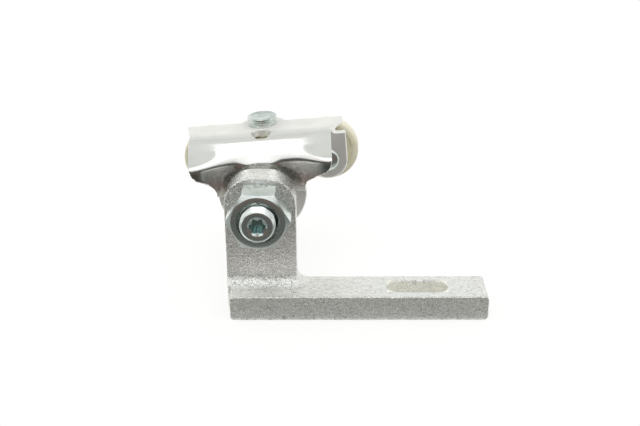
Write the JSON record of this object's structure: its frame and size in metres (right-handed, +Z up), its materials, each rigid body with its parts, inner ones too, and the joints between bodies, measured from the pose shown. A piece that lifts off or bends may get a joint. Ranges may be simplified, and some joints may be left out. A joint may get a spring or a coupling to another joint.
{
  "type": "sliding door roller",
  "caption": "Slotted arm with an upright lug, a swivel stud and lock nut, and a pressed carriage with side rollers and an upright guide roller.",
  "frame": {"origin": "centre of the fixing slot, on the underside of the arm's bar", "axes": "+X along the bar away from the lug, +Y from the nut towards the rollers, +Z up"},
  "size_m": [0.1074, 0.0551, 0.0616],
  "materials": {
    "cast_zinc": "cast and zinc plated, dull and grainy",
    "zinc_sheet": "pressed and zinc plated, satin",
    "zinc_steel": "turned and zinc plated, bright",
    "nylon": "natural nylon, satin"
  },
  "bodies": {
    "arm": {"arm": "cast_zinc", "lock_nut": "zinc_steel", "pivot_stud": "zinc_steel", "pivot_washer": "zinc_steel"},
    "carriage": {"carriage_bracket": "zinc_sheet", "pivot_bush": "nylon", "side_axle_left": "zinc_steel", "side_axle_right": "zinc_steel", "side_spacer_left": "zinc_steel", "side_spacer_right": "zinc_steel", "side_washer_left": "zinc_steel", "side_washer_right": "zinc_steel", "guide_axle": "zinc_steel", "guide_washer_top": "zinc_steel", "guide_washer_bottom": "zinc_steel"},
    "left_roller": {"side_roller_left": "nylon", "side_sleeve_left": "zinc_steel"},
    "right_roller": {"side_roller_right": "nylon", "side_sleeve_right": "zinc_steel"},
    "top_roller": {"guide_roller": "nylon", "guide_sleeve": "zinc_steel"}
  },
  "joints": [
    {"name": "carriage_swivel", "type": "hinge", "parent": "arm", "child": "carriage", "pos_m": [-0.054, 0.018, 0.0369], "axis": [0, 1, 0], "range_deg": [-60, 60]},
    {"name": "left_roller_spin", "type": "hinge", "parent": "carriage", "child": "left_roller", "pos_m": [-0.07223, 0.03785, 0.04348], "axis": [0, 1, 0], "continuous": true},
    {"name": "right_roller_spin", "type": "hinge", "parent": "carriage", "child": "right_roller", "pos_m": [-0.03104, 0.03785, 0.04651], "axis": [0, 1, 0], "continuous": true},
    {"name": "top_roller_spin", "type": "hinge", "parent": "carriage", "child": "top_roller", "pos_m": [-0.05364, 0.0309, 0.05106], "axis": [-0.0732, 0, 0.9973], "continuous": true}
  ]
}
